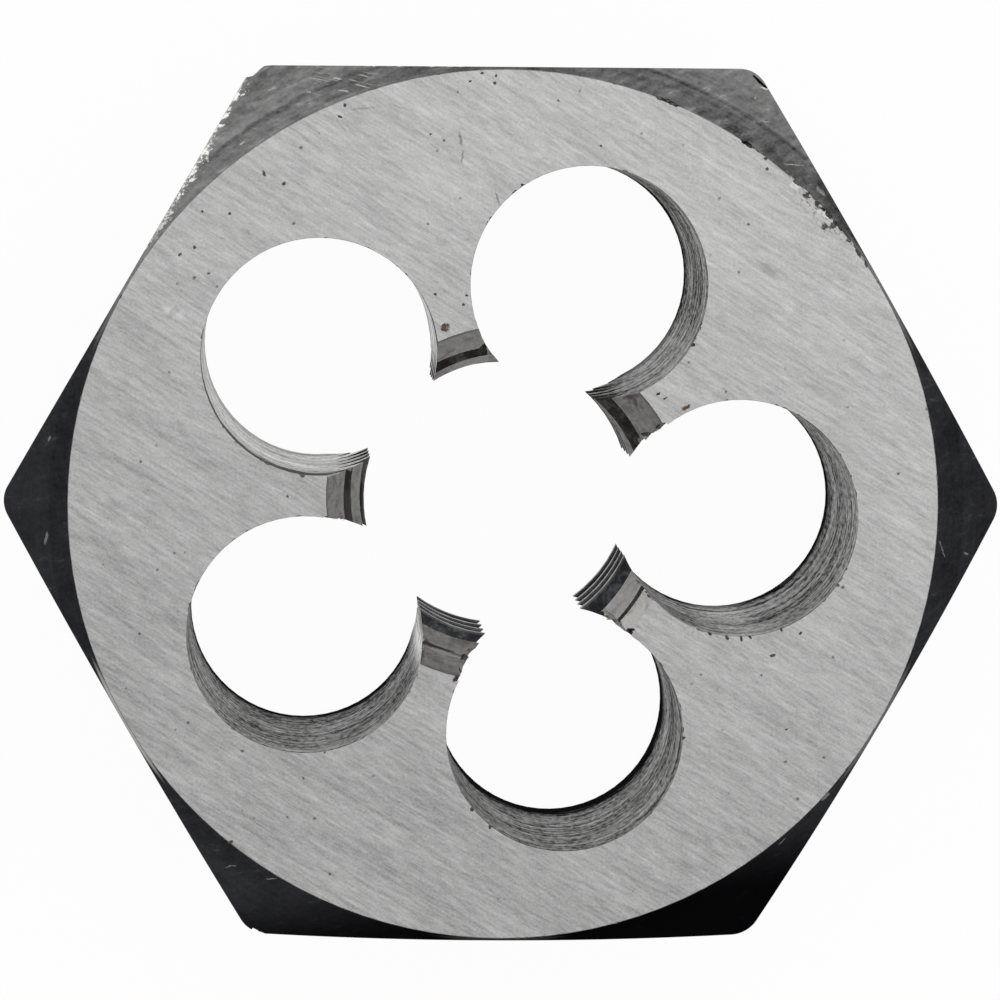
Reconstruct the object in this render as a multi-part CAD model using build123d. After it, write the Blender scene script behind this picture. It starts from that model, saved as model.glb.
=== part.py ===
"""Hexagon threading die for cutting an outside thread on a rod.

The die is one piece of hardened tool steel: a hexagonal nut with a tapped hole, opened by a
ring of chip holes that leave narrow lands. Each land carries a comb of thread teeth, and a
conical lead at both faces lets the teeth bite step by step.

Millimetres, +Z up. The origin is the middle of the back face, which rests on the bench, and
the die's axis is Z. Two of the hexagon's corners lie on the X axis. Angles are in degrees,
seen from above, counter-clockwise from +X.
"""
import os
from math import cos, pi, radians, sin, sqrt, tan

from build123d import *

# Hexagon body
across_flats = 27.0
thickness = 11.0
corner_radius = 0.9        # rounding of the six upright edges
face_inset = 0.08          # how far the round bright face stays inside the flats
chamfer_angle = 38.0       # fall of the turned corner chamfers below the face
chamfer_crown = 50.0       # radius of their slight outward bulge, left by the turning

# Chip holes
chip_holes = 5
rim_wall = 2.54            # steel left between a chip hole and the nearest possible flat
land_neck = 1.26           # narrowest width of a land, between two chip holes
chip_hole_phase = -2.7     # direction of the first chip hole

# Right-hand thread, on the metric profile of 60 degrees
thread_diameter = 10.0     # of the rod's finished thread
pitch = 1.5
flank_angle = 30.0         # of each flank, from a plane square to the axis
root_clearance = 0.18      # the roots stand this far outside the rod's crests
tip_clearance = 0.08       # the tooth tips stand this far outside the basic minor circle
groove_allowance = 0.13    # the grooves are this much wider than the basic profile
thread_start = 1.25        # height of the first groove's middle, in the +X direction

# Conical lead at each face
mouth_allowance = 0.50     # radius of the mouth beyond the rod's radius
lead_angle = 23.0          # of the cone, from the axis
lead_relief = 0.30         # each land's cone is set over this far, to clear behind its edge

# Extra length given to cutting tools, so that no cut ends in a face of the part
overrun = 1.0


def polar(radius, angle):
    """Point at a radius and an angle in the plane of the faces."""
    return radius * cos(radians(angle)), radius * sin(radians(angle))


# Metric thread profile, worked out from its sharp triangle
triangle_height = pitch * sqrt(3) / 2
minor_radius = thread_diameter / 2 - triangle_height * 5 / 8 + tip_clearance
pitch_radius = thread_diameter / 2 - triangle_height * 3 / 8
root_radius = thread_diameter / 2 + root_clearance
flank_slope = tan(radians(flank_angle))
sharp_radius = pitch_radius + (pitch / 4 + groove_allowance / 2) / flank_slope

# Chip holes that keep the rim wall outside and the land neck between them
land_sine = sin(pi / chip_holes)
chip_reach = across_flats / 2 - rim_wall
chip_circle_radius = (chip_reach + land_neck / 2) / (1 + land_sine)
chip_hole_radius = chip_reach - chip_circle_radius
hole_step = 360 / chip_holes
chip_hole_angles = [chip_hole_phase + hole_step * i for i in range(chip_holes)]
land_angles = [angle + hole_step / 2 for angle in chip_hole_angles]

mouth_radius = thread_diameter / 2 + mouth_allowance
lead_slope = tan(radians(lead_angle))


def hexagon_blank():
    """Hexagonal bar with rounded upright edges, its corners turned off at both faces."""
    bar = extrude(RegularPolygon(across_flats / 2, 6, major_radius=False), thickness)
    bar = fillet(bar.edges().filter_by(Axis.Z), corner_radius)
    face_radius = across_flats / 2 - face_inset
    outside = across_flats / sqrt(3) + overrun
    fall = (outside - face_radius) * tan(radians(chamfer_angle))
    back_edge = (face_radius, 0)
    back_corner = (outside, fall)
    front_corner = (outside, thickness - fall)
    front_edge = (face_radius, thickness)
    profile = [
        Line((0, 0), back_edge),
        RadiusArc(back_edge, back_corner, -chamfer_crown),
        Line(back_corner, front_corner),
        RadiusArc(front_corner, front_edge, -chamfer_crown),
        Polyline(front_edge, (0, thickness), (0, 0)),
    ]
    turned = revolve(Plane.XZ * make_face(profile), Axis.Z)
    return bar & turned


def through_cylinder(radius, centre=(0, 0)):
    """Drill that passes both faces."""
    length = thickness + 2 * overrun
    return Pos(*centre, thickness / 2) * Cylinder(radius, length)


def chip_hole_cutters():
    """Ring of drills that open the tapped hole and leave the lands between them."""
    centres = [polar(chip_circle_radius, angle) for angle in chip_hole_angles]
    return [through_cylinder(chip_hole_radius, centre) for centre in centres]


def lead_cutter(land_angle):
    """Cone for the upper lead of one land, set over clockwise and kept to that land.

    The land's counter-clockwise side cuts, and its cone widens away from that side.
    """
    end_radius = minor_radius - 2 * lead_relief
    depth = (mouth_radius - end_radius) / lead_slope
    top_radius = mouth_radius + overrun * lead_slope
    cone = Pos(0, 0, thickness - depth) * Cone(
        end_radius, top_radius, depth + overrun, align=(Align.CENTER, Align.CENTER, Align.MIN)
    )
    set_over = polar(lead_relief, land_angle - 90)
    sector_radius = chip_circle_radius / cos(pi / chip_holes)
    sector = make_face(
        Polyline(
            (0, 0),
            polar(sector_radius, land_angle - hole_step / 2),
            polar(sector_radius, land_angle + hole_step / 2),
            close=True,
        )
    )
    wedge = Pos(0, 0, thickness - depth) * extrude(sector, depth + overrun)
    return (Pos(*set_over, 0) * cone) & wedge


def lead_cutters():
    """Leads of every land at the upper face, and the same turned over for the back face."""
    upper = [lead_cutter(angle) for angle in land_angles]
    turn_over = Pos(0, 0, thickness / 2) * Rot(180, 0, 0) * Pos(0, 0, -thickness / 2)
    back = [turn_over * lead_cutter(-angle) for angle in land_angles]
    return upper + back


def groove_tool():
    """Helical cutter with a flat tip, as long as the step from one chip hole to the next."""
    touching_radius = sharp_radius - pitch / 2 / flank_slope
    inner_radius = (touching_radius + minor_radius) / 2
    inner_half = (sharp_radius - inner_radius) * flank_slope
    root_half = (sharp_radius - root_radius) * flank_slope
    path = Helix(pitch, pitch * hole_step / 360, minor_radius)
    section = Plane.XZ * make_face(
        Polyline(
            (inner_radius, -inner_half),
            (root_radius, -root_half),
            (root_radius, root_half),
            (inner_radius, inner_half),
            close=True,
        )
    )
    return sweep(section, path, is_frenet=True)


def groove_cutters(tool, angle):
    """Tool at each turn of the thread across one land, from the chip hole at an angle on."""
    rise = thread_start + pitch * angle / 360
    lowest = rise % pitch - 2 * pitch
    turns = int(thickness / pitch) + 4
    return [Pos(0, 0, lowest + pitch * i) * Rot(0, 0, angle) * tool for i in range(turns)]


def threading_die():
    die = hexagon_blank() - through_cylinder(minor_radius)
    for cutter in chip_hole_cutters() + lead_cutters():
        die = die - cutter
    tool = groove_tool()
    for angle in chip_hole_angles:
        die = die - groove_cutters(tool, angle)
    return die


os.makedirs("parts", exist_ok=True)
die = threading_die()
export_step(die, "parts/threading_die.step")
print(f"threading die: {len(die.solids())} solid, {len(die.faces())} faces, {die.volume:.1f} mm3")
print(f"chip holes: {2 * chip_hole_radius:.2f} mm on a circle of {2 * chip_circle_radius:.2f} mm")
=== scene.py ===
# %% [markdown]
# A hexagon threading die, dressed for a picture.
#
# The real die is one piece of hardened tool steel. Its shape comes here finished, teeth and all,
# so this lesson is about what a workshop does to such a piece: grinding marks on the faces, black
# heat-treatment scale elsewhere, bright nicks where spanners have hit the edges, and rust where
# oil and chips sat.
#
# Everything is in metres. The die stands on its back face at the origin, and its axis is Z.

# %% The frame
import math
import random

import bmesh
import bpy
from mathutils import Euler, Matrix, Vector


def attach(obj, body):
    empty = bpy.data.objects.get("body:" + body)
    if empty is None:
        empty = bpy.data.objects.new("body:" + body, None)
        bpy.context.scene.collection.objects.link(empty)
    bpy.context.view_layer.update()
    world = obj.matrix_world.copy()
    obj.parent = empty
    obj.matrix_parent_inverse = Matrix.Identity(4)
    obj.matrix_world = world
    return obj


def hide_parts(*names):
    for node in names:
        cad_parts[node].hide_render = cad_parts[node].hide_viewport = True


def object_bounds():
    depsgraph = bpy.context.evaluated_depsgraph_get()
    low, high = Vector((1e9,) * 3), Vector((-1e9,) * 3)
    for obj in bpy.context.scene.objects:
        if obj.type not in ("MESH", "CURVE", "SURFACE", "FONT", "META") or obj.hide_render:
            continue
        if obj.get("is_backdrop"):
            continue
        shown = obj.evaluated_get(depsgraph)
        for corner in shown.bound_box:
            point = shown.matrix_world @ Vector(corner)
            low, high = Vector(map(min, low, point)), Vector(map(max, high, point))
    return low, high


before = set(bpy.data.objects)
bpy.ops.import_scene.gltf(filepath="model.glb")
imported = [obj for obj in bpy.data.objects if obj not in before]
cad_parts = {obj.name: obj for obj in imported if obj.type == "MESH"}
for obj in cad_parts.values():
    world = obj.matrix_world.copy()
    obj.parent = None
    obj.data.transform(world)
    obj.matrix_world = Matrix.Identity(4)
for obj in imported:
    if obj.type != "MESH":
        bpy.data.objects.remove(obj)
cad_low, cad_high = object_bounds()
mm = 0.001


def in_mm(lengths):
    """Lengths for a printed line, in millimetres."""
    return [round(length / mm, 2) for length in lengths]


print("die box in mm:", in_mm(cad_high - cad_low))

# %% [markdown]
# The few sizes that place a finish or a nick are written once, in metres. Thickness and width
# across flats are read from the solid itself.

# %% Sizes
thickness = cad_high.z
half_flats = cad_high.y
face_inset = 0.08 * mm
face_radius = half_flats - face_inset
chamfer_slope = math.tan(math.radians(38))
hole_count = 5
hole_step = math.tau / hole_count
hole_radius = 3.66 * mm
hole_circle_radius = 7.30 * mm
first_hole = math.radians(-2.7)
lead_mouth_radius = 5.5 * mm
lead_slope = math.tan(math.radians(23))
tooth_tip_radius = 4.27 * mm
thread_root_radius = 5.18 * mm
bore_region = 5.8 * mm


def polar(radius, angle, height=0.0):
    """Point at a radius and an angle round the die's axis."""
    return Vector((radius * math.cos(angle), radius * math.sin(angle), height))


hole_angles = [first_hole + hole_step * i for i in range(hole_count)]
hole_centres = [polar(hole_circle_radius, angle) for angle in hole_angles]
print("across flats and thickness in mm:", in_mm([2 * half_flats, thickness]))

# %% [markdown]
# The solid arrives as loose triangles. They are merged, and those of the ground faces and the
# flats are dissolved into a few large faces, so that a bevel has clean ground on both sides of an
# edge. Modelling the teeth again here would only risk a second, different thread, so a copy of the
# solid's own mesh is the better start.
#
# How level a face lies is the size of its normal's Z: 1 for a level face, 0 for an upright wall.

# %% Merged copy of the solid
merge_distance = 0.001 * mm
flat_tolerance = math.radians(0.2)
level_from = 0.9999
upright_below = 0.0005


def lies_flat(face):
    """True for a face of the two ground faces or of the six flats."""
    level = abs(face.normal.z)
    outside = face.calc_center_median().xy.length > face_radius
    return level > level_from or (level < upright_below and outside)


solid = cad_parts["threading_die"]
shape = bmesh.new()
shape.from_mesh(solid.data)
bmesh.ops.remove_doubles(shape, verts=shape.verts, dist=merge_distance)
bmesh.ops.dissolve_degenerate(shape, edges=shape.edges, dist=merge_distance)
bmesh.ops.dissolve_limit(
    shape,
    angle_limit=flat_tolerance,
    use_dissolve_boundaries=False,
    verts=[vert for vert in shape.verts if all(lies_flat(face) for face in vert.link_faces)],
    edges=[edge for edge in shape.edges if all(lies_flat(face) for face in edge.link_faces)],
    delimit={"NORMAL"},
)
print("merged mesh:", len(shape.verts), "vertices,", len(shape.faces), "faces")
print("open edges:", sum(1 for edge in shape.edges if not edge.is_manifold))

# %% [markdown]
# No edge of a used tool is perfectly sharp: it shows as a hairline that catches the light. The
# edges that a finger can reach get a bevel of a few hundredths of a millimetre. The teeth keep
# their cutting edges.

# %% Broken edges
edge_break = 0.035 * mm
sharp_turn = math.radians(20)


def is_handled(edge):
    """True for a sharp edge that lies outside the tapped hole."""
    if not edge.is_manifold or edge.calc_face_angle(0.0) < sharp_turn:
        return False
    return all(vert.co.xy.length > bore_region for vert in edge.verts)


handled = [edge for edge in shape.edges if is_handled(edge)]
bevelled = bmesh.ops.bevel(
    shape,
    geom=handled,
    affect="EDGES",
    offset=edge_break,
    offset_type="OFFSET",
    segments=2,
    profile=0.5,
    clamp_overlap=True,
    material=-1,
)
bevel_faces = set(bevelled["faces"])
print("bevelled", len(handled), "edges into", len(bevel_faces), "faces")

# %% [markdown]
# Each surface got its finish from the tool that cut it, so the faces are sorted by that tool. A
# face's place and how level it lies are enough to tell. The last four zones are damage.

# %% Sorting the faces
damage_zones = ["nick", "crumb", "pit", "rust"]
zones = ["ground", "chamfer", "flat", "drilled", "lead", "groove", "crest", "edge", *damage_zones]
zone_number = {zone: number for number, zone in enumerate(zones)}
wall_tolerance = 0.05 * mm
outer_band = 0.5 * mm
towards_centre = 0.9
ground_level = 0.999
chamfer_level = 0.35
lead_levels = (0.25, 0.6)
crest_level = 0.15


def is_drilled(centre, normal):
    """True for a face on the wall of a chip hole."""
    for hole in hole_centres:
        inward = (hole - centre).to_2d()
        if abs(inward.length - hole_radius) < wall_tolerance:
            return normal.to_2d().dot(inward.normalized()) > towards_centre
    return False


def zone_of(face):
    """Name of the zone that a face of the finished solid belongs to."""
    centre = face.calc_center_median()
    level = abs(face.normal.z)
    radius = centre.xy.length
    if face in bevel_faces:
        return "edge"
    if level > ground_level:
        return "ground"
    if radius > half_flats - outer_band:
        return "chamfer" if level > chamfer_level else "flat"
    if is_drilled(centre, face.normal):
        return "drilled"
    if lead_levels[0] < level < lead_levels[1]:
        return "lead"
    if level < crest_level and radius < (tooth_tip_radius + thread_root_radius) / 2:
        return "crest"
    return "groove"


def placed(name, data):
    """Object of the scene that shows some data. A bmesh becomes a mesh first."""
    if isinstance(data, bmesh.types.BMesh):
        mesh = bpy.data.meshes.new(name)
        data.to_mesh(mesh)
        data.free()
        data = mesh
    made = bpy.data.objects.new(name, data)
    bpy.context.scene.collection.objects.link(made)
    return made


for face in shape.faces:
    face.material_index = zone_number[zone_of(face)]
    face.smooth = True
face_numbers = [face.material_index for face in shape.faces]
print("faces:", {zone: face_numbers.count(number) for zone, number in zone_number.items()})

body = placed("die_body", shape)

# %% [markdown]
# Shader maths is easier to read as a formula than as a tangle of nodes. A small class stands for
# one output socket, and adding or multiplying it adds the Math node that does so. The reflected
# forms let a plain number stand first, as in 1 - mask.

# %% Sockets that add and multiply
noise_middle = 0.5


class Value:
    """One number that varies over a surface: an output socket with arithmetic."""

    def __init__(self, finish, socket):
        self.finish = finish
        self.socket = socket

    def math(self, operation, first, second=None):
        values = {0: first}
        if second is not None:
            values[1] = second
        return self.finish.node("ShaderNodeMath", {"operation": operation}, values)

    def __add__(self, other):
        return self.math("ADD", self, other)

    def __sub__(self, other):
        return self.math("SUBTRACT", self, other)

    def __rsub__(self, other):
        return self.math("SUBTRACT", other, self)

    def __mul__(self, other):
        return self.math("MULTIPLY", self, other)

    def __truediv__(self, other):
        return self.math("DIVIDE", self, other)

    def __rtruediv__(self, other):
        return self.math("DIVIDE", other, self)

    __radd__ = __add__
    __rmul__ = __mul__

    def most(self, other):
        return self.math("MAXIMUM", self, other)

    def least(self, other):
        return self.math("MINIMUM", self, other)

    def size(self):
        return self.math("ABSOLUTE", self)

    def swing(self, amount):
        """How far noise is above or below its middle, times this amount."""
        return (self - noise_middle) * amount

    def ramp(self, low, high):
        """0 below low, 1 above high, and a smooth change between them."""
        settings = {"interpolation_type": "SMOOTHSTEP"}
        values = {"Value": self, "From Min": low, "From Max": high}
        return self.finish.node("ShaderNodeMapRange", settings, values)


# %% [markdown]
# A second class holds a material under construction. One method makes every kind of node, and the
# others make the nodes that most finishes end with. A metal shader shines at a low angle whatever
# its colour, so oil, soot and painted shade are a dull shader of their own that a mask mixes in.

# %% Nodes of one material
# Colours of the dull layer: soot and oil, and also painted shade.
soot_and_shade_black = (0.002, 0.002, 0.0025, 1)
oil_and_shade_grey = (0.045, 0.043, 0.04, 1)


class Nodes:
    """A material under construction. Places in it are in millimetres."""

    def __init__(self, name):
        self.material = bpy.data.materials.new(name)
        self.material.use_nodes = True
        self.tree = self.material.node_tree
        self.tree.nodes.clear()
        self.output = self.tree.nodes.new("ShaderNodeOutputMaterial")
        place = self.node("ShaderNodeTexCoord", {}, {}, "Object")
        self.place = self.vector("SCALE", {0: place, "Scale": 1 / mm})

    def node(self, kind, settings, values, output=0):
        """Adds a node, sets it up, feeds its sockets and returns one of its outputs."""
        made = self.tree.nodes.new(kind)
        for name, setting in settings.items():
            setattr(made, name, setting)
        for name, value in values.items():
            socket = made.inputs[name]
            if isinstance(value, Value):
                self.tree.links.new(value.socket, socket)
            else:
                socket.default_value = value
        return Value(self, made.outputs[output])

    def vector(self, operation, values, output=0):
        """One step of arithmetic on vectors or colours."""
        return self.node("ShaderNodeVectorMath", {"operation": operation}, values, output)

    def blend(self, amount, low, high):
        """Colour that goes from low to high."""
        values = {"Factor": amount, 6: low, 7: high}
        return self.node("ShaderNodeMix", {"data_type": "RGBA"}, values, 2)

    def shade(self, amount, color):
        """Colour made darker or lighter by a factor."""
        return self.vector("SCALE", {0: color, "Scale": amount})

    def bump(self, height, distance):
        """Normal of a surface with this relief. The distance is in metres."""
        values = {"Height": height, "Distance": distance, "Strength": 1.0}
        return self.node("ShaderNodeBump", {}, values)

    def shader(self, color, roughness, metallic=1.0, normal=None, specular=0.5):
        """A Principled shader with this look."""
        values = {"Base Color": color, "Roughness": roughness, "Metallic": metallic}
        values["Specular IOR Level"] = specular
        if normal is not None:
            values["Normal"] = normal
        return self.node("ShaderNodeBsdfPrincipled", {}, values)

    def done(self, shader, cover=None, dull_color=oil_and_shade_grey):
        """Ends the material with a shader, under a dull layer where the cover says so, which carries
        grime and, in some finishes, painted shade.
        """
        if cover is not None:
            layer = self.shader(dull_color, 1.0, 0.0, None, 0.0)
            shader = self.node("ShaderNodeMixShader", {}, {0: cover, 1: shader, 2: layer})
        self.tree.links.new(shader.socket, self.output.inputs["Surface"])
        print(self.material.name, "has", len(self.tree.nodes), "nodes")
        return self.material


# %% [markdown]
# Patterns come from the place on the surface, such as its distance from an axis, or noise in a
# turned and stretched frame, which draws lines. A mark is an oval with a ragged outline, given as
# x, y, length and width in millimetres and a direction in degrees. It reaches a few millimetres
# down from the upper face, unless a sixth number gives another depth.

# %% Patterns on the steel
mark_depth = 4.0
mark_fade = (0.35, 1.15)
wobble_scale = 6.0
wobble_reach = 0.12


class Finish(Nodes):
    """A material whose patterns follow the place on the die."""

    ragged_place = None

    def along(self, axis):
        """One coordinate of the place: X, Y or Z."""
        return self.node("ShaderNodeSeparateXYZ", {}, {0: self.place}, axis)

    def across(self, degrees):
        """How far the place lies from the axis towards a direction."""
        angle = math.radians(degrees)
        direction = (math.cos(angle), math.sin(angle), 0)
        return self.vector("DOT_PRODUCT", {0: self.place, 1: direction}, "Value")

    def radius(self, centre=(0, 0)):
        """Distance from an upright line, which is the die's axis unless a centre is given."""
        moved = self.vector("SUBTRACT", {0: self.place, 1: (*centre, 0)})
        flat = self.vector("MULTIPLY", {0: moved, 1: (1, 1, 0)})
        return self.vector("LENGTH", {0: flat}, "Value")

    def arcs(self, radius, length, width, detail, roughness):
        """Noise in streaks that run round an axis: long along the arc and narrow across it."""
        flat = self.vector("MULTIPLY", {0: self.place, 1: (1 / length, 1 / length, 0)})
        step = self.node("ShaderNodeCombineXYZ", {}, {"Z": radius / width})
        return self.noise(self.vector("ADD", {0: flat, 1: step}), 1.0, detail, roughness)

    def noise(self, place, scale, detail, roughness):
        values = {"Scale": scale, "Detail": detail, "Roughness": roughness, "Vector": place}
        return self.node("ShaderNodeTexNoise", {}, values, "Fac")

    def mottle(self, scale, detail=3.0, roughness=0.6):
        """Even noise, with no direction."""
        return self.noise(self.place, scale, detail, roughness)

    def grain(self):
        """The finest mottle, for surfaces that no tool left lines on."""
        return self.mottle(9.0)

    def lines(self, degrees, size, detail=2.0, roughness=0.6, origin=(0, 0, 0)):
        """Noise in a turned frame whose units have these lengths, so it is long in one direction."""
        turn = (0, 0, math.radians(degrees))
        values = {"Vector": self.place, "Location": origin, "Rotation": turn, "Scale": size}
        turned = self.node("ShaderNodeMapping", {"vector_type": "TEXTURE"}, values)
        return self.noise(turned, 1.0, detail, roughness)

    def cells(self, place, scale):
        """Distance to the nearest of many points scattered over a level face."""
        values = {"Vector": place, "Scale": scale}
        return self.node("ShaderNodeTexVoronoi", {"voronoi_dimensions": "2D"}, values, "Distance")

    def wobble(self):
        """The place, shifted a little by noise, which makes the outline of a mark ragged."""
        if self.ragged_place is None:
            values = {"Vector": self.place, "Scale": wobble_scale, "Detail": 3.0}
            color = self.node("ShaderNodeTexNoise", {}, values, "Color")
            centred = self.vector("SUBTRACT", {0: color, 1: (noise_middle,) * 3})
            shift = self.vector("SCALE", {0: centred, "Scale": wobble_reach})
            self.ragged_place = self.vector("ADD", {0: self.place, 1: shift})
        return self.ragged_place

    def mark(self, x, y, length, width, degrees=0.0, depth=mark_depth):
        """1 at the middle of an oval mark near the upper face, 0 outside it."""
        values = {
            "Vector": self.wobble(),
            "Location": (x, y, thickness / mm),
            "Rotation": (0, 0, math.radians(degrees)),
            "Scale": (length / 2, width / 2, depth),
        }
        local = self.node("ShaderNodeMapping", {"vector_type": "TEXTURE"}, values)
        return 1 - self.vector("LENGTH", {0: local}, "Value").ramp(*mark_fade)

    def marks(self, places):
        """All marks of a list in one mask."""
        mask = self.mark(*places[0])
        for place in places[1:]:
            mask = mask.most(self.mark(*place))
        return mask


# %% [markdown]
# Both faces were ground flat. The wheel left short straight lines across the whole die, all in
# one direction. Stretched noise gives such lines, from hairlines to broad bands, with a little
# even grain so that they don't look combed. They change the colour and tilt the surface. The
# tone is also painted lighter towards the upper right, which is painted light.

# %% Grinding lines
grind_direction = -31.5


def grinding(finish, clouds):
    """Tone of ground steel with painted light towards the upper right, and the relief of its lines.
    """
    hairlines = finish.lines(grind_direction, (0.55, 0.105, 1.0))
    streaks = finish.lines(grind_direction, (1.9, 0.17, 1.0), 2.0, 0.55)
    bands = finish.lines(grind_direction, (5.0, 0.8, 1.0), 2.0, 0.5)
    scores = finish.lines(grind_direction, (1.0, 0.035, 1.0))
    smudges = finish.lines(grind_direction, (0.9, 0.3, 1.0), 3.0, 0.6, (2, 1, 0))
    grain = finish.mottle(13.0, 2.0)
    tone = 1 + hairlines.swing(0.68) + streaks.swing(0.56) + grain.swing(0.58)
    tone = tone + bands.swing(0.42) + clouds.swing(0.2) + scores.swing(0.3)
    tone = tone + smudges.ramp(0.62, 0.78) * 0.16 - (1 - smudges.ramp(0.24, 0.36)) * 0.14
    # Painted light: the tone grows lighter towards the upper right of the face.
    tone = tone + finish.along("Y") * 0.011 + finish.along("X") * 0.0045
    return tone, hairlines + streaks * 0.8 + scores * 0.3


# %% [markdown]
# Stains sit where the real die has them: streaks of oil and faint scratches at the far side,
# brown patches beside two lands, and at the right a hammered place, part brown, part fresh steel.

# %% Ground faces
streaks_of_oil = [
    (-1.42, 11.25, 0.55, 0.1, -75), (-1.36, 10.75, 0.5, 0.07, -95), (-0.28, 9.5, 0.5, 0.06, -75),
]
pale_marks = [
    (0.96, 10.82, 0.45, 0.16, -25), (1.25, 10.6, 0.3, 0.1, -30), (-10.2, 5.9, 0.9, 0.35, -30),
]
faint_scratches = [
    (-4.4, 12.2, 1.4, 0.07, 5), (-3.3, 12.25, 1.0, 0.06, -18),
    (-5.1, 11.7, 0.8, 0.06, -50), (5.54, -7.24, 0.4, 0.1, 80),
    (8.1, 7.3, 0.9, 0.4, -30), (-10.2, 5.9, 0.6, 0.3, 40),
]
hammered = [(9.7, 9.15, 2.8, 1.1, -50)]
brown_patches = [
    (9.23, 9.59, 0.36, 0.2, -20), (9.62, 9.31, 0.5, 0.24, -50),
    (10.07, 8.69, 0.36, 0.26, 30), (9.82, 8.66, 0.34, 0.26), (10.53, 8.25, 0.2, 0.18),
    (-1.84, 5.5, 0.42, 0.36, 20), (5.56, 3.06, 0.5, 0.2, 28),
]
pale_dents = [
    (8.87, 9.9, 0.4, 0.28, -30), (9.76, 9.07, 0.6, 0.26, -20), (10.12, 8.9, 0.36, 0.14, -50),
]
ground_grey = (0.380, 0.380, 0.378)
pit_grey = (0.05, 0.048, 0.045, 1)
dent_brown = (0.07, 0.058, 0.048, 1)
fresh_steel = (0.62, 0.61, 0.58, 1)


def ground_steel():
    finish = Finish("ground_steel")
    clouds = finish.mottle(0.3)
    tone, grinding_relief = grinding(finish, clouds)
    tone = tone + finish.marks(pale_marks) * 0.28
    specks = finish.cells(finish.wobble(), 1.0)
    chosen = finish.mottle(1.7, 1.0, 0.5)
    dirt = (1 - specks.ramp(0.01, 0.07)) * chosen.ramp(0.52, 0.72) * 0.8
    dirt = dirt.most(finish.marks(streaks_of_oil) * 0.45)
    dirt = dirt.most(finish.marks(faint_scratches) * 0.2)
    flecks = finish.lines(-50, (0.16, 0.10, 1.0), 4.0, 0.7)
    ragged = flecks.swing(3.0)
    rust = (finish.marks(brown_patches) + ragged).ramp(0.45, 1.0) * 0.9
    rust = rust.most(finish.marks(hammered) * flecks.ramp(0.53, 0.63) * 0.6)
    fresh = (finish.marks(pale_dents) - ragged).ramp(0.3, 1.0) * 0.7
    color = finish.blend(dirt, finish.shade(tone, ground_grey), pit_grey)
    color = finish.blend(rust, color, dent_brown)
    color = finish.blend(fresh, color, fresh_steel)
    roughness = 0.34 + dirt * 0.3 + rust * 0.3 + clouds.swing(0.1)
    normal = finish.bump(grinding_relief - dirt * 1.5 - rust, 0.004 * mm)
    return finish.done(finish.shader(color, roughness, 1.0, normal))


finishes = {"ground": ground_steel()}

# %% [markdown]
# The corners were turned before hardening and kept the black scale of the heat treatment. The
# tool went round twice, so a fine groove parts the chamfer into two rings, with finer bands in
# them. All of this shows mainly at the two far corners, which are lighter and grey: partly scale
# rubbed thin, partly painted light. On them painted shade and light make the outer ring darker at
# the left and lighter at the right, and the inner ring the other way round. At the sides the
# scale is plain black, with painted shade at the right corner, and towards the near side painted
# shade darkens it nearly to black.

# %% Rings of the turning tool
turning_centre = (0.14, 0.0)
turning_groove = 14.10


def ring_tone(finish, radius, lines, lit_and_rubbed):
    """Tone of the rings and bands, faint on the black corners and plain on the lit and rubbed far
    ones, with painted shade and light that change from left to right.
    """
    x = finish.along("X")
    bands = finish.arcs(radius, 5.0, 0.5, 2.0, 0.5)
    groove = 1 - (radius - turning_groove).size().ramp(0.02, 0.10)
    inner = 1 - radius.ramp(turning_groove - 0.08, turning_groove + 0.08)
    # Painted shade and light: on the far corners the outer ring darkens at the left and lightens at
    # the right, the inner ring the other way round.
    side = lit_and_rubbed * x
    plain = 0.3 + lit_and_rubbed * 0.7
    tone = 1.04 - groove * plain * 0.35 - inner * (0.2 + side * 0.020)
    tone = tone + radius.ramp(14.2, 15.0) * side * 0.028
    # Painted shade: the right corner is made darker.
    tone = tone - x.ramp(13.0, 15.0) * 0.42
    return tone + (lines.swing(1.1) + bands.swing(0.8)) * plain


# %% [markdown]
# Wear shows the steel again, in smears and fine cuts and in scribbled lines at the far left
# corner. Bright strips lie where the round face comes close to a flat, brightest at the lower
# left, and the edge of the upper left flat is hammered bright along its far half.

# %% Wear on the corners
flat_strip = (13.3, 13.42)
face_edge = (13.48, 13.56)
hammered_flat = 150
scribbled = [(-4.9, 13.1, 2.6, 0.9, -5)]


def rubbed_through(finish, clouds, smears, lit_and_rubbed):
    """How much steel shows through the scale."""
    cuts = finish.lines(-12, (0.9, 0.06, 0.5), 2.0, 0.5)
    thin = clouds.ramp(0.45, 0.6)
    worn = smears.ramp(0.58, 0.74) * thin * (0.12 + lit_and_rubbed * 0.3)
    worn = worn.most(cuts.ramp(0.66, 0.74) * thin * (0.06 + lit_and_rubbed * 0.3))
    return worn.most(cuts.ramp(0.56, 0.66) * finish.marks(scribbled) * 0.55)


def near_flats(finish, *directions):
    """1 in the thin strip where the round face comes close to these flats."""
    reach = finish.across(directions[0])
    for direction in directions[1:]:
        reach = reach.most(finish.across(direction))
    return reach.ramp(*flat_strip)


def bright_edges(finish, smears, grain):
    """Masks of the strips beside the flats and of the hammered edge."""
    upper_side = finish.along("Z").ramp(8.0, 8.5)
    touching = (near_flats(finish, 210) * 0.75).most(near_flats(finish, 270, 330) * 0.2)
    touching = touching.most(near_flats(finish, 30, 150) * 0.17)
    strips = (1 - finish.radius().ramp(*face_edge)) * touching * upper_side
    gap = half_flats / mm - finish.across(hammered_flat)
    along_flat = finish.across(hammered_flat + 90)
    reach = along_flat.ramp(-7.6, -6.8) * (1 - along_flat.ramp(-2.4, -1.2)) * upper_side
    blows = (1 - (gap + smears.swing(0.9) + grain.swing(0.7)).ramp(0.0, 0.16)) * reach
    return strips, blows
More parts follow.
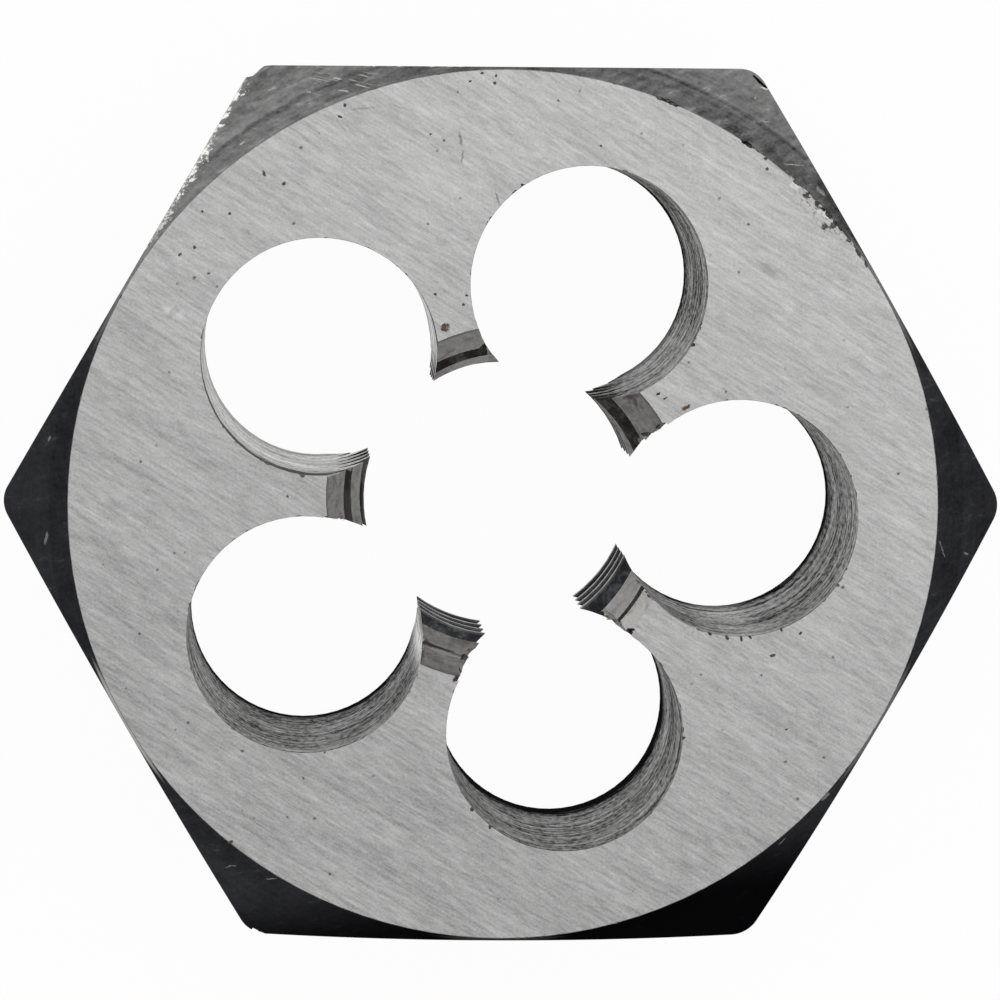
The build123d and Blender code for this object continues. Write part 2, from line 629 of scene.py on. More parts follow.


# %% [markdown]
# Knocks have left pale scratches on all corners. A few dark spots on the far ones are painted shade
# beside the knocked places. The rings, the wear and the knocks now meet in one finish.

# %% Blackened corners
scratches = [
    (-6.05, 12.68, 0.14, 0.1), (-5.0, 12.72, 0.5, 0.07, -10), (-5.2, 13.1, 0.4, 0.07, -10),
    (-8.1, 11.1, 0.3, 0.1, 35), (-10.12, 9.38, 0.3, 0.22, 50), (7.72, 12.62, 0.2, 0.1, 40),
    (8.02, 11.88, 0.34, 0.05, -8), (8.85, 10.56, 0.9, 0.05, -5), (9.7, 9.75, 0.6, 0.2, -50),
    (-8.33, -11.25, 0.6, 0.05, 15), (-7.1, -11.6, 0.5, 0.06, 10), (8.7, -10.4, 0.5, 0.06, 45),
    (10.03, -8.98, 0.5, 0.2, 50), (-14.0, 2.0, 0.3, 0.12, 60), (-14.1, -1.1, 0.6, 0.12, 80),
    (13.6, -1.3, 0.7, 0.07, -70), (14.4, -1.45, 0.28, 0.12, -15),
]
# Painted shade beside the knocked places on the far corners.
knock_shade_marks = [(-7.5, 13.2, 0.5, 0.3, 20), (-8.0, 13.1, 0.7, 0.25, 30), (9.75, 9.9, 0.7, 0.4, -50)]
dark_scale = (0.039, 0.040, 0.044, 1)
thin_and_lit_scale = (0.127, 0.127, 0.126, 1)
scratched_steel = (0.5, 0.49, 0.47, 1)
knock_shade_black = (0.02, 0.02, 0.02, 1)
bright_edge = (0.9, 0.9, 0.88, 1)


def blackened_turning():
    finish = Finish("blackened_turning")
    clouds = finish.mottle(0.9, 4.0)
    grain = finish.grain()
    radius = finish.radius(turning_centre)
    lines = finish.arcs(radius, 3.0, 0.16, 3.0, 0.65)
    smears = finish.lines(20, (0.6, 0.22, 0.6), 4.0, 0.6)
    # Partly painted light: the far side is lighter and greyer, for the lamps behind the die as well
    # as for scale rubbed thin.
    lit_and_rubbed = finish.along("Y").ramp(3.0, 10.0)
    tone = ring_tone(finish, radius, lines, lit_and_rubbed) + clouds.swing(0.9)
    tone = tone + grain.swing(0.9) + smears.swing(0.8)
    blotches = smears.ramp(0.5, 0.62) - (1 - smears.ramp(0.36, 0.46))
    tone = tone + blotches * lit_and_rubbed * 0.14
    # Painted shade: towards the near side the colour darkens and a black dull layer covers it.
    near_side_shade = (finish.along("X") * 0.15 - finish.along("Y")).ramp(10.6, 13.2)
    color = finish.blend(lit_and_rubbed, dark_scale, thin_and_lit_scale)
    color = finish.shade(tone.most(0.2) * (1 - near_side_shade * 0.6), color)
    worn = rubbed_through(finish, clouds, smears, lit_and_rubbed)
    knocks = (finish.marks(scratches) + grain.swing(1.6)).ramp(0.4, 1.1)
    color = finish.blend(worn.most(knocks * 0.55), color, scratched_steel)
    # Painted shade beside the knocks.
    color = finish.blend(finish.marks(knock_shade_marks) * 0.6, color, knock_shade_black)
    strips, blows = bright_edges(finish, smears, grain)
    color = finish.blend(strips.most(blows * 0.7), color, bright_edge)
    roughness = 0.42 + clouds.swing(0.2) + lines.swing(0.15)
    relief = lines * 0.8 + grain * 0.3 - worn * 0.5
    scale = finish.shader(color, roughness, 0.9, finish.bump(relief, 0.005 * mm))
    return finish.done(scale, near_side_shade * 0.95 * (1 - knocks.most(strips)), soot_and_shade_black)


finishes["chamfer"] = blackened_turning()

# %% [markdown]
# The six flats were milled, and then blackened with the corners. The mill's lines run round the
# die, and thin scuffs cross them where spanners have gripped.

# %% Blackened flats
milled_scale = (0.052, 0.053, 0.056)
scuffed_steel = (0.4, 0.39, 0.38, 1)


def blackened_milling():
    finish = Finish("blackened_milling")
    clouds = finish.mottle(0.5, 4.0)
    grain = finish.grain()
    lines = finish.lines(0, (3.5, 3.5, 0.10), 3.0, 0.6)
    scuffs = finish.lines(30, (1.2, 1.2, 0.06))
    tone = 1 + lines.swing(0.9) + clouds.swing(0.9) + grain.swing(0.6)
    color = finish.shade(tone.most(0.2), milled_scale)
    worn = scuffs.ramp(0.62, 0.72) * clouds.ramp(0.48, 0.6) * 0.3
    color = finish.blend(worn, color, scuffed_steel)
    roughness = 0.42 + clouds.swing(0.3) + lines.swing(0.2)
    relief = lines + grain * 0.3 - worn
    return finish.done(finish.shader(color, roughness, 0.9, finish.bump(relief, 0.006 * mm)))


finishes["flat"] = blackened_milling()

# %% [markdown]
# The chip holes were drilled and reamed in a hurry. Their walls carry rings one above the other,
# torn here and there, with soot and old oil on them. Painted shade makes the walls darker towards
# the back face and lighter near the top, and a ragged ring of painted shade, nearly black, runs
# round the foot of every wall, highest in the near hole and on two sooty walls. The upper left
# hole was cleaned out at some time: it is bright, with a line of oil left round its mouth. The
# wall beside the lower left land is the brightest.

# %% Drilled walls
clean_hole = 2
# The near hole, whose ring of painted shade reaches highest.
shaded_hole = 4
bright_walls = [(-2.6, -3.9, 3.2, 2.8, 0, 100)]
paler_walls = [(5.1, 4.3, 3.4, 3.0, 0, 100), (7.3, -4.2, 2.6, 1.4, 0, 100)]
sooty_and_shaded_walls = [(5.0, 9.4, 3.0, 2.2, -50, 100), (-1.2, -9.3, 3.0, 1.6, -50, 100)]
wall_reach = (hole_radius / mm + 0.15, hole_radius / mm + 0.5)
wall_grey = (0.42, 0.42, 0.415)


def wall_of(finish, hole):
    """1 on the wall of one chip hole, 0 on the others."""
    return 1 - finish.radius(hole_centres[hole].xy / mm).ramp(*wall_reach)


def drilled_steel():
    finish = Finish("drilled_steel")
    height = finish.along("Z")
    rings = finish.lines(0, (9.0, 9.0, 0.4))
    dashes = finish.lines(0, (0.9, 0.9, 0.3), 3.0, 0.65)
    grain = finish.lines(0, (0.16, 0.16, 0.45))
    broad = finish.lines(0, (7.0, 7.0, 1.4))
    clouds = finish.mottle(0.6)
    cleaned = wall_of(finish, clean_hole)
    bright = finish.marks(bright_walls)
    lighter = cleaned.most(bright).most(finish.marks(paler_walls) * 0.36)
    sooted_and_shaded = finish.marks(sooty_and_shaded_walls)
    thick = wall_of(finish, shaded_hole).most(sooted_and_shaded)
    dirt_and_depth_shade = 0.62 + rings.swing(1.5) + dashes.swing(1.2) + grain.swing(1.4) + clouds.swing(0.3)
    # Painted shade: more of the dull layer towards the foot of the wall and less near the top.
    dirt_and_depth_shade = dirt_and_depth_shade + (1 - height.ramp(1.0, 5.0)) * 0.12 - height.ramp(7.0, 10.0) * 0.04
    dirt_and_depth_shade = dirt_and_depth_shade + sooted_and_shaded * 0.1 - lighter * 0.45 - bright * 0.2
    # Painted shade: a ragged black ring at the foot of every wall, raised in the near hole and on the
    # sooty walls.
    ragged = height + rings.swing(2.5) + dashes.swing(3.0) + clouds.swing(1.6) - thick * 0.9
    foot_shade = (1 - ragged.ramp(0.7, 1.6)) * (1 - lighter * 0.6)
    oil_line = cleaned * (height + dashes.swing(3.0)).ramp(9.2, 9.9)
    cover = dirt_and_depth_shade.most(0.02).least(0.95).most(foot_shade * 0.99).most(oil_line * 0.9)
    tone = 1 + grain.swing(0.6) + (broad - noise_middle) * lighter * 3.6
    color = finish.shade(tone + lighter * 0.6 + bright * 0.5, wall_grey)
    roughness = 0.42 + clouds.swing(0.2)
    metal = finish.shader(color, roughness, 1.0, finish.bump(rings + dashes, 0.01 * mm))
    return finish.done(metal, cover, finish.blend(foot_shade, oil_and_shade_grey, soot_and_shade_black))


finishes["drilled"] = drilled_steel()

# %% [markdown]
# The leads were ground after hardening, so their cones are bare grey steel with brown stains and
# a thin brown line along the mouth. Two brown marks on the left edge of the lower left land are a
# painted shadow line. The lead at the lower right carries less oil and is painted lighter, most of
# all near its mouth, which is painted light.

# %% Leads
# Brown stains; the two near x -2.4, y -4.5 are a painted shadow line along the lower left land.
brown_stains_and_shadow = [(-1.75, 5.3, 0.7, 0.35, 20), (3.9, 3.36, 0.6, 0.26, 15), (-2.5, -4.6, 0.7, 0.26, 75)]
brown_stains_and_shadow += [(-2.36, -4.3, 0.35, 0.2, -15), (-5.1, 1.2, 1.0, 0.3, 20), (4.06, 3.2, 0.14, 0.5, 25)]
lit_leads = [(3.95, -3.2, 3.4, 3.0, 0, 100)]
mouth_line = 0.12
lead_grey = (0.30, 0.297, 0.288)
oil_brown = (0.12, 0.095, 0.07, 1)
rust_and_shadow_brown = (0.085, 0.05, 0.032, 1)


def lead_steel():
    finish = Finish("lead_steel")
    height = finish.along("Z")
    turning = finish.lines(0, (2.5, 2.5, 0.16), 3.0, 0.6)
    strokes = finish.lines(0, (0.13, 0.13, 1.2))
    clouds = finish.mottle(2.4)
    grain = finish.grain()
    lighter = finish.marks(lit_leads)
    rim = (height - (thickness / mm - mouth_line)).ramp(-0.1, 0.1) * (1 - lighter)
    tone = 1 + turning.swing(0.6) + strokes.swing(0.8) + clouds.swing(0.5) + grain.swing(0.7)
    # Painted light: the lower right lead is lighter, most of all near its mouth.
    tone = tone + lighter * (0.75 + height.ramp(9.8, 10.5) * 0.95)
    color = finish.shade(tone, lead_grey)
    color = finish.blend((clouds.ramp(0.45, 0.75) * 0.45).most(rim * 0.5), color, oil_brown)
    color = finish.blend(finish.marks(brown_stains_and_shadow) * 0.8, color, rust_and_shadow_brown)
    cover = (clouds.ramp(0.4, 0.75) * 0.35 * (1 - lighter)).most(rim * 0.25)
    metal = finish.shader(color, 0.45, 0.95, finish.bump(turning + grain, 0.004 * mm))
    return finish.done(metal, cover)


finishes["lead"] = lead_steel()

# %% [markdown]
# The thread kept its scale, blue-black on the near side and brown with dried oil on the far side.
# The first groove below each mouth has filled with rust and oil. The flanks next to the tips of the
# teeth are painted grey, partly for rubbing by the rods that they have cut and partly as a painted
# highlight that widens the light line along each crest. One flank at the lower left was wiped bare.

# %% Grooves
wiped_flanks = [(-1.85, -4.66, 2.6, 0.18, -17, 100), (-1.3, -4.62, 0.6, 0.3, -17, 100)]
half_thickness = thickness / mm / 2
first_groove = (half_thickness - 2.0, half_thickness - 1.7)
tip_reach = (tooth_tip_radius / mm + 0.02, tooth_tip_radius / mm + 0.08)
blue_black = (0.028, 0.030, 0.035, 1)
oil_black = (0.038, 0.034, 0.028, 1)
scale_grey = (0.10, 0.10, 0.098, 1)
mouth_brown = (0.042, 0.035, 0.029, 1)
tip_highlight_grey = (0.17, 0.17, 0.165, 1)
wiped_grey = (0.24, 0.237, 0.23, 1)


def groove_scale():
    finish = Finish("groove_scale")
    clouds = finish.mottle(1.8, 4.0)
    strokes = finish.lines(0, (0.12, 0.12, 0.8))
    grain = finish.grain()
    near_mouth = (finish.along("Z") - half_thickness).size().ramp(*first_groove)
    wiped = finish.marks(wiped_flanks)
    # Partly painted highlight: the flanks next to the tips are lighter, which widens the light line
    # of each crest.
    tip_rub_and_highlight = 1 - (finish.radius() + clouds.swing(0.06)).ramp(*tip_reach)
    tone = 1 + clouds.swing(1.6) + grain.swing(0.8) + strokes.swing(1.8)
    color = finish.blend(finish.along("Y").ramp(-2.0, 2.0), blue_black, oil_black)
    color = finish.shade(tone.most(0.2), color)
    patches = (clouds + strokes.swing(0.6)).ramp(0.5, 0.7)
    color = finish.blend(patches * 0.7, color, scale_grey)
    color = finish.blend(near_mouth * (0.6 + clouds * 0.8).least(1.0), color, mouth_brown)
    color = finish.blend(tip_rub_and_highlight * 0.65, color, tip_highlight_grey)
    color = finish.blend(wiped, color, wiped_grey)
    scale = finish.shader(color, 0.5, 0.5, finish.bump(grain, 0.004 * mm))
    return finish.done(scale, (1 - clouds.ramp(0.4, 0.6)) * 0.4 * (1 - wiped), soot_and_shade_black)


finishes["groove"] = groove_scale()

# %% [markdown]
# The crests are the narrow bands that rub on every rod. Their steel is bare, smooth and oily.

# %% Tooth tips
crest_grey = (0.24, 0.24, 0.235)


def rubbed_crest():
    finish = Finish("rubbed_crest")
    clouds = finish.mottle(2.0)
    color = finish.shade(1 + clouds.swing(0.6), crest_grey)
    return finish.done(finish.shader(color, 0.38), clouds.ramp(0.45, 0.65) * 0.4)


finishes["crest"] = rubbed_crest()

# %% [markdown]
# Broken edges and nicks show the steel itself, with a little brown where it has begun to rust, and
# with dirt beside the left land.
#
# Pits, rust and crumbled places get a dull finish instead. A small hollow in polished metal
# mirrors the dark side of the room and would show as a black hole.

# %% Bare and stained metal
dirty_edges = [(-5.9, 1.05, 1.6, 0.5, -5), (-4.9, 1.3, 1.6, 0.5, 20), (-8.3, 2.3, 1.6, 0.6, -50)]


def bare_steel(name, color, rust):
    """Steel without its scale, with this share of rust."""
    finish = Finish(name)
    clouds = finish.mottle(2.5, 4.0, 0.65)
    grain = finish.grain()
    tone = 1 + clouds.swing(0.9) + grain.swing(0.8)
    rusty = (clouds.ramp(0.55, 0.68) * rust).most(finish.marks(dirty_edges) * 0.8)
    shaded = finish.blend(rusty, finish.shade(tone.most(0.1), color), rust_and_shadow_brown)
    return finish.done(finish.shader(shaded, 0.4, 1.0, finish.bump(grain, 0.006 * mm)))


def stained(name, color):
    """Dull metal in a hollow."""
    finish = Finish(name)
    grain = finish.grain()
    shaded = finish.shade(1 + grain.swing(1.2), color)
    return finish.done(finish.shader(shaded, 0.8, 0.3, finish.bump(grain, 0.01 * mm)))


finishes["edge"] = bare_steel("broken_edge", (0.22, 0.22, 0.215), rust=0.4)
finishes["nick"] = bare_steel("nicked_steel", (0.55, 0.54, 0.52), rust=0.7)
finishes["crumb"] = stained("crumbled_steel", (0.45, 0.44, 0.42))
finishes["pit"] = stained("pitted_steel", (0.15, 0.145, 0.135))
finishes["rust"] = stained("rust", (0.16, 0.105, 0.075))

# %% [markdown]
# The finishes go onto the mesh in the order of the zones, so the numbers given to the faces fit.

# %% Giving the die its finishes
for zone in zones:
    body.data.materials.append(finishes[zone])
print(len(body.data.materials), "finishes on", body.name)

# %% [markdown]
# Nicks and chips are real bites, so they need points on the edges of the flats, of the round
# face, of the chip holes and of the lands.

# %% Points on the edges
quarter_turn = math.pi / 2


def flat_edge_point(flat_angle, along):
    """Point on the upper edge of a flat, this far along from the flat's middle."""
    point = polar(half_flats, flat_angle) + polar(along, flat_angle + quarter_turn)
    point.z = thickness - (point.xy.length - face_radius) * chamfer_slope
    return point


def rim_point(angle):
    """Point on the round edge of the upper face."""
    return polar(face_radius, angle, thickness)


def hole_edge_point(hole, angle):
    """Point on the upper edge of a chip hole."""
    return hole_centres[hole] + polar(hole_radius, angle, thickness)


def land_edge_point(hole, side, depth):
    """Point where a land's lead cone meets a chip hole, this far below the upper face.

    The side is 1 for the land that follows the hole counter-clockwise, and -1 for the other.
    """
    radius = lead_mouth_radius - depth * lead_slope
    across = radius**2 + hole_circle_radius**2 - hole_radius**2
    swing = math.acos(across / (2 * radius * hole_circle_radius))
    return polar(radius, hole_angles[hole] + side * swing, thickness - depth)


def face_point(x, y, below=0.0):
    """Point on the upper face or below it, from millimetres."""
    return Vector((x * mm, y * mm, thickness - below * mm))


print("right-hand land at, in mm:", in_mm(land_edge_point(0, 1, 0.0)))

# %% [markdown]
# Each bite is cut by a small, irregular lump, longer along the edge that was hit than across it.
# The cut faces take their finish from the lumps: bright metal where a blow laid it bare, and
# black scale or grey steel where the damage is older than the last finish.

# %% Lumps that bite
dice = random.Random(7)
cutters = bmesh.new()
most_tilt = 0.4
lump_faces = 80


def bite(point, sizes, heading, zone="nick", ragged=0.12):
    """Adds one irregular lump. The sizes are its length along the heading, width and height."""
    tilts = (dice.uniform(-most_tilt, most_tilt), dice.uniform(-most_tilt, most_tilt))
    turn = Euler((*tilts, heading)).to_matrix().to_4x4()
    stretch = Matrix.Diagonal((sizes[0] / 2, sizes[1] / 2, sizes[2] / 2, 1.0))
    place = Matrix.Translation(point) @ turn @ stretch
    lump = bmesh.ops.create_icosphere(cutters, subdivisions=2, radius=1.0, matrix=place)
    rough = ragged * min(sizes)
    for vert in lump["verts"]:
        vert.co += Vector([dice.uniform(-rough, rough) for _ in range(3)])
    for face in {face for vert in lump["verts"] for face in vert.link_faces}:
        face.material_index = zone_number[zone]


def random_mm(low, high):
    """A random length in metres, between two lengths in millimetres."""
    return dice.uniform(low, high) * mm


def nick_size(longest, deepest):
    """Random sizes of a nick in metres, from its greatest ones in millimetres."""
    length = dice.uniform(0.3, 1.0) * (longest * mm)
    width = dice.uniform(0.5, 1.0) * (deepest * mm)
    return length, width, dice.uniform(0.5, 1.0) * (deepest * mm)


def count_bites(part):
    print(part, "done, bites in all:", len(cutters.faces) // lump_faces)


# %% [markdown]
# The flats come first. The far half of the upper left one is nicked all along, where the finish
# is hammered bright, and the top one has a few fine nicks on its left half.

# %% Nicks along the flats
upper_left_flat = math.radians(150)
upper_left_nicks = 44
top_flat = math.radians(90)
top_nicks = 12
for _ in range(upper_left_nicks):
    point = flat_edge_point(upper_left_flat, random_mm(-7.2, -1.2))
    bite(point, nick_size(0.6, 0.16), upper_left_flat + quarter_turn)
for _ in range(top_nicks):
    point = flat_edge_point(top_flat, random_mm(1.0, 7.0))
    bite(point, nick_size(0.4, 0.10), 0.0)
count_bites("flats")

# %% [markdown]
# The round edge was hit hard at the right, where old blows have gone black, and at two places
# nearer to the top. Fine nicks lie all round it and round the chip holes, whose rims are also
# torn where the drill broke through, most of all on the right and the near holes.

# %% Nicks round the face and the holes
hard_hits = 26
old_chips = (67.3, 68.0, 68.6, 69.4, 56.9, 56.3)
fine_nicks = 36
hole_nicks = 70
torn = [(0, 256), (0, 264), (0, 271), (0, 275), (0, 291), (0, 306), (3, 243), (4, 244), (4, 232)]
torn += [(4, 220), (4, 358), (4, 171), (1, 124), (1, 330), (2, 262)]
for _ in range(hard_hits):
    angle = math.radians(dice.uniform(34, 49))
    zone = dice.choice(["nick", "pit", "chamfer", "chamfer", "chamfer"])
    bite(rim_point(angle), nick_size(0.4, 0.16), angle + quarter_turn, zone)
for degrees in old_chips:
    angle = math.radians(degrees)
    sizes = (random_mm(0.25, 0.5), random_mm(0.08, 0.16), 0.14 * mm)
    bite(rim_point(angle), sizes, angle + quarter_turn, "chamfer", ragged=0.2)
for _ in range(fine_nicks):
    angle = dice.uniform(0, math.tau)
    bite(rim_point(angle), nick_size(0.35, 0.06), angle + quarter_turn, "edge")
for _ in range(hole_nicks):
    hole, angle = dice.randrange(hole_count), dice.uniform(0, math.tau)
    point = hole_edge_point(hole, angle)
    if point.xy.length > bore_region:
        zone = dice.choice(["edge", "pit"])
        bite(point, nick_size(0.3, 0.09), angle + quarter_turn, zone)
for hole, degrees in torn:
    angle = math.radians(degrees)
    sizes = (random_mm(0.15, 0.36), random_mm(0.09, 0.16), random_mm(0.15, 0.3))
    heading = angle + dice.uniform(-0.6, 0.6)
    bite(hole_edge_point(hole, angle), sizes, heading, "pit", ragged=0.25)
count_bites("round edges")

# %% [markdown]
# The lands are the weak places. Their edges beside the chip holes have crumbled, most of all on
# the lower right, lower left and right-hand ones. Each row gives a hole, the side of it that the
# land lies on, a number of crumbs and their size in millimetres.

# %% Crumbled lands
crumbled = [(4, 1, 9, 0.42), (4, -1, 10, 0.4), (0, 1, 9, 0.36), (1, 1, 5, 0.4), (3, 1, 4, 0.2)]
crumbled += [(0, -1, 4, 0.16)]
deepest_crumb = 2.0 * mm
tall = 7
for hole, side, count, size in crumbled:
    for _ in range(count):
        point = land_edge_point(hole, side, dice.uniform(0.0, 1.0) * deepest_crumb)
        length, width, height = nick_size(1.1 * size, size)
        bite(point, (length, width, tall * height), hole_angles[hole], "crumb")
count_bites("lands")

# %% [markdown]
# Three corners were hit as well: the far left one has lost its rounding over its whole height, the
# near left one has a few small bites, and the far right one a crescent with a bright spot by it.

# %% Battered corners
far_left_corner = math.radians(120.6)
far_left_reach = 15.24 * mm
far_left_bites = 40
near_left_corner = math.radians(239.5)
near_left_reach = 15.45 * mm
near_left_bites = 5
for i in range(far_left_bites):
    angle = far_left_corner + dice.uniform(-0.02, 0.02)
    height = thickness * (i + 0.5) / far_left_bites
    sizes = (random_mm(1.3, 2.2), random_mm(0.6, 0.9), random_mm(1.0, 1.8))
    place = polar(far_left_reach + sizes[1] / 2, angle, height)
    bite(place, sizes, angle + quarter_turn, "chamfer", ragged=0.08)
for _ in range(near_left_bites):
    angle = near_left_corner + dice.uniform(-0.03, 0.03)
    place = polar(near_left_reach, angle, thickness - random_mm(1.3, 2.2))
    bite(place, (0.4 * mm, 0.25 * mm, 0.5 * mm), angle + quarter_turn, "chamfer")
crescent = face_point(7.9, 13.1, 1.38)
bite(crescent, (0.7 * mm, 0.11 * mm, 0.36 * mm), math.radians(-40), "groove")
bright_spot = crescent + Vector((0.12, -0.2, 0.1)) * mm
bite(bright_spot, (0.35 * mm, 0.12 * mm, 0.3 * mm), math.radians(-25))
count_bites("corners")

# %% [markdown]
# Two chips with rust in them sit at the mouths of the lower right and lower left lands, and small
# crumbs have gone from both edges of the left land.

# %% Small damage on the lands
rusty_chips = [(3.89, -3.85), (-1.31, -5.33)]
small_crumbs = 12
left_land_edges = ((3, -1), (2, 1))
for x, y in rusty_chips:
    bite(face_point(x, y, 0.02), (0.45 * mm, 0.22 * mm, 0.26 * mm), math.radians(20), "rust", 0.25)
for i in range(small_crumbs):
    hole, side = left_land_edges[i % 2]
    point = land_edge_point(hole, side, dice.uniform(0.0, 1.0) * deepest_crumb)
    sizes = (random_mm(0.1, 0.3), random_mm(0.08, 0.16), random_mm(0.2, 0.8))
    bite(point, sizes, hole_angles[hole], "crumb")
count_bites("small damage")

# %% [markdown]
# Small hollows are spread over the upper face: pits where the scale went deeper than the grinder,
# and rust spots where water stood. They are given as the marks are, and are a few hundredths of a
# millimetre deep.

# %% Pits and rust spots
pits = [
    (-6.82, 9.87, 0.17, 0.15), (-7.44, 10.18, 0.3, 0.12, -70), (-9.32, 9.01, 0.13, 0.1),
    (-8.48, 8.95, 0.13, 0.12), (-9.56, 7.9, 0.15, 0.14), (-10.0, 7.68, 0.18, 0.12, 30),
    (-5.12, 11.94, 0.2, 0.13, -20), (-4.97, 12.28, 0.13, 0.18), (-0.77, 13.3, 0.13, 0.12),
    (-0.34, 13.22, 0.12, 0.12), (-1.14, 13.05, 0.13, 0.1), (-0.71, 12.97, 0.15, 0.12),
    (-0.37, 13.0, 0.15, 0.13), (-2.34, 11.42, 0.1, 0.1), (7.97, 10.74, 0.16, 0.12),
    (8.02, 10.43, 0.14, 0.12), (10.56, 8.27, 0.14, 0.1), (8.8, -6.89, 0.16, 0.08, 20),
    (-1.2, 6.48, 0.12, 0.1), (-1.29, 6.2, 0.14, 0.1), (-2.16, 6.51, 0.12, 0.12),
    (-11.2, -4.0, 0.1, 0.1), (2.9, 11.1, 0.12, 0.08), (2.6, 10.4, 0.14, 0.08, -30),
]
rust_spots = [
    (-8.36, -10.45, 0.22, 0.16), (10.33, -2.4, 0.22, 0.13, -15), (5.6, 3.06, 0.3, 0.12, 28),
    (4.73, 3.48, 0.2, 0.1, 20), (4.95, 3.35, 0.3, 0.08, 20), (-1.88, 5.55, 0.2, 0.12, -20),
    (0.19, -10.2, 0.16, 0.12), (8.35, -4.6, 0.3, 0.12, 15), (9.2, -3.9, 0.2, 0.1, 40),
]
pit_depth = 0.035 * mm
hollow_share = 0.8
for zone, hollows in (("pit", pits), ("rust", rust_spots)):
    for x, y, length, width, *degrees in hollows:
        heading = math.radians(degrees[0]) if degrees else 0.0
        sizes = (length * hollow_share * mm, width * hollow_share * mm, 2 * pit_depth)
        bite(face_point(x, y), sizes, heading, zone, ragged=0.25)
count_bites("hollows")

# %% [markdown]
# The cut is one Boolean modifier, applied at once. Its exact solver copes with overlapping lumps.

# %% Cutting the bites
bmesh.ops.recalc_face_normals(cutters, faces=cutters.faces)
cutter = placed("bites", cutters)
for zone in zones:
    cutter.data.materials.append(finishes[zone])
cut = body.modifiers.new("bites", "BOOLEAN")
cut.operation = "DIFFERENCE"
cut.solver = "EXACT"
cut.use_self = True
cut.object = cutter
bpy.context.view_layer.update()
graph = bpy.context.evaluated_depsgraph_get()
bitten = bpy.data.meshes.new_from_object(body.evaluated_get(graph))
body.modifiers.clear()
body.data = bitten
bpy.data.objects.remove(cutter)
print("after the cut:", len(bitten.vertices), "vertices,", len(bitten.polygons), "faces")

# %% [markdown]
# Smooth shading must stop where one tool's surface meets the next, or light would run round the
# corner. An edge is marked sharp where its two faces differ in finish or turn by more than a few
# degrees. Faces of the damage stay flat, because torn steel is full of small facets.

# %% Sharp edges
crease_angle = math.radians(24)
damage = {zone_number[zone] for zone in damage_zones}
shape = bmesh.new()
shape.from_mesh(bitten)
for edge in shape.edges:
    numbers = {face.material_index for face in edge.link_faces}
    edge.smooth = len(numbers) == 1 and edge.calc_face_angle(0.0) < crease_angle
for face in shape.faces:
    face.smooth = face.material_index not in damage
shape.to_mesh(bitten)
print("sharp edges:", sum(1 for edge in shape.edges if not edge.smooth))
print("open edges:", sum(1 for edge in shape.edges if not edge.is_manifold))
shape.free()
bitten.name = "die_body"

# %% [markdown]
# The die lies on a white sheet. It answers camera and mirror rays with plain white light, so that
# the picture's ground is white and the steel shows it, and a small share of ordinary white paint
# keeps the soft shadow.

# %% Floor
floor_half = 0.6
white_share = 0.965
white_paint = (0.85, 0.85, 0.85, 1)
plain_white = (1, 1, 1, 1)
ray_kinds = ("Is Camera Ray", "Is Glossy Ray", "Is Transmission Ray")
floor_shape = bmesh.new()
bmesh.ops.create_grid(floor_shape, x_segments=1, y_segments=1, size=floor_half)
floor = placed("floor", floor_shape)

sheet = Nodes("white_sheet")
rays = [sheet.node("ShaderNodeLightPath", {}, {}, kind) for kind in ray_kinds]
seen = rays[0] + rays[1] + rays[2]
paint = sheet.node("ShaderNodeBsdfDiffuse", {}, {"Color": white_paint})
glow = sheet.node("ShaderNodeEmission", {}, {"Color": plain_white, "Strength": 1.0})
mixed = sheet.node("ShaderNodeMixShader", {}, {0: seen * white_share, 1: paint, 2: glow})
floor.data.materials.append(sheet.done(mixed))

# %% [markdown]
# One broad soft box hangs above, a little to the right and to the back, so the ground face is
# brightest at its upper right. Two low ones stand behind the die and are mirrored by the
# chamfers that lean that way, while the other corners mirror the dim room and stay black.

# %% Lights
room_grey = (0.8, 0.8, 0.8, 1)
room_strength = 0.5


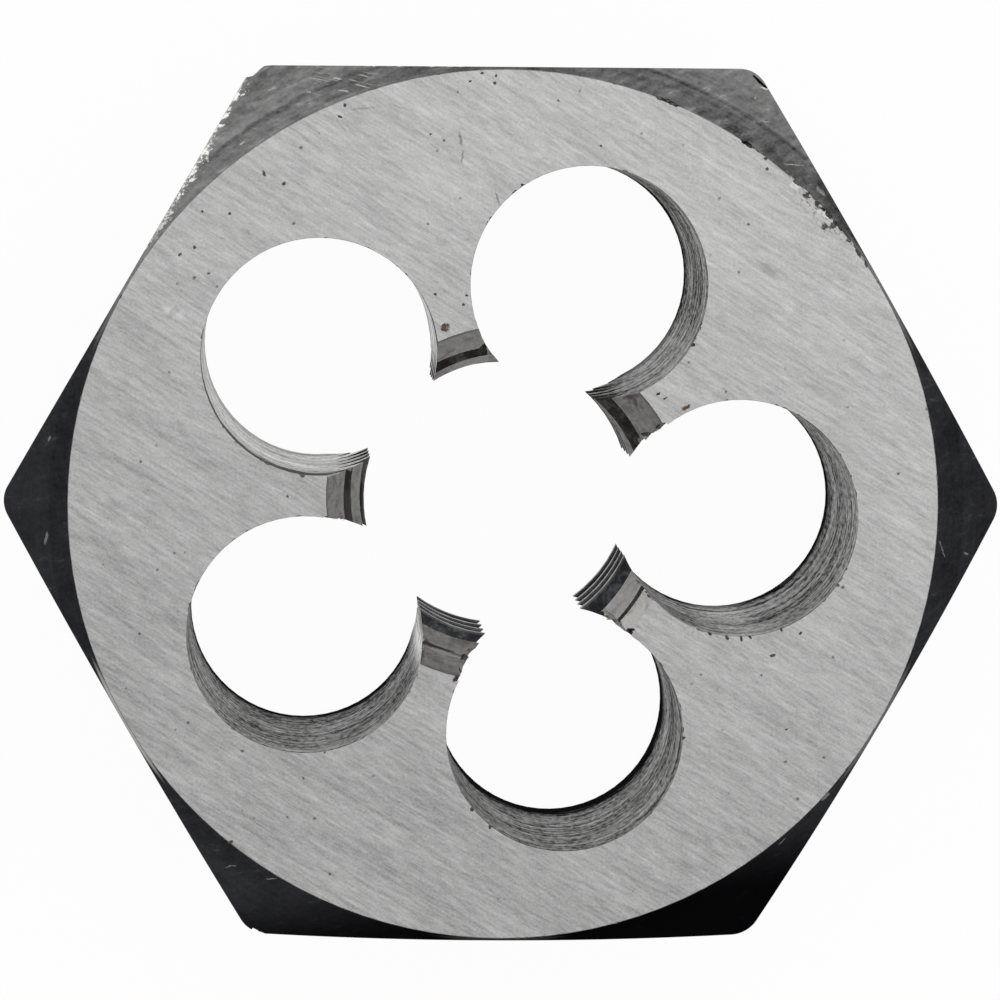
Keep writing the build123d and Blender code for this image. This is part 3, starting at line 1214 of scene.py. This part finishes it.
def soft_box(name, place, size, radiance):
    """Area light that faces the die, with its brightness given as seen in a mirror."""
    light = bpy.data.lights.new(name, "AREA")
    light.shape = "RECTANGLE"
    light.size, light.size_y = size
    light.energy = radiance * math.pi * size[0] * size[1]
    lamp = placed(name, light)
    lamp.location = place
    lamp.rotation_euler = (-Vector(place)).to_track_quat("-Z", "Y").to_euler()
    print(name, "gives", round(light.energy, 2), "W")


soft_box("overhead_box", (0.12, 0.08, 0.55), (0.9, 0.9), 0.8)
soft_box("low_box_left", polar(0.45, math.radians(122), 0.15), (0.34, 0.2), 2.2)
soft_box("low_box_right", polar(0.45, math.radians(60), 0.14), (0.3, 0.18), 1.8)

world = bpy.data.worlds.new("room")
bpy.context.scene.world = world
world.use_nodes = True
background = world.node_tree.nodes["Background"]
background.inputs["Color"].default_value = room_grey
background.inputs["Strength"].default_value = room_strength

# %% [markdown]
# The photograph was taken from straight above with a long lens, a touch off the axis, so that a
# little of the hole walls shows on the lower and right-hand sides.

# %% Camera
camera_place = Vector((-7.088, 12.712, 194.242)) * mm
aim_point = Vector((-0.122, 0.184, 11.0)) * mm
camera_roll = math.radians(-0.426)
sensor_width = 36.0
lens_length = 214.74

camera = bpy.data.cameras.new("camera")
camera.sensor_width = sensor_width
camera.lens = lens_length
camera.clip_start = 0.01
camera.clip_end = 10.0
forward = (aim_point - camera_place).normalized()
upright = Vector((math.sin(camera_roll), math.cos(camera_roll), 0))
right = forward.cross(upright).normalized()
up = right.cross(forward)
turn = Matrix((right, up, -forward)).transposed()
camera_object = placed("camera", camera)
camera_object.matrix_world = Matrix.Translation(camera_place) @ turn.to_4x4()
bpy.context.scene.camera = camera_object
bpy.context.scene.view_settings.view_transform = "Standard"
print("camera at, in mm:", in_mm(camera_place))

# %% [markdown]
# The dressed die stands for the solid and moves with it. The sizes of both are written down, to
# show that the finish took nothing away from the real dimensions and added nothing.

# %% Handing over
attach(body, "root")
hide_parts("threading_die")
floor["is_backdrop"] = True
seen_low, seen_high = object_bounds()
sizes = {
    "cad": [list(cad_low), list(cad_high)],
    "visual": [list(seen_low), list(seen_high)],
}
print("dressed box in mm:", in_mm(seen_high - seen_low))
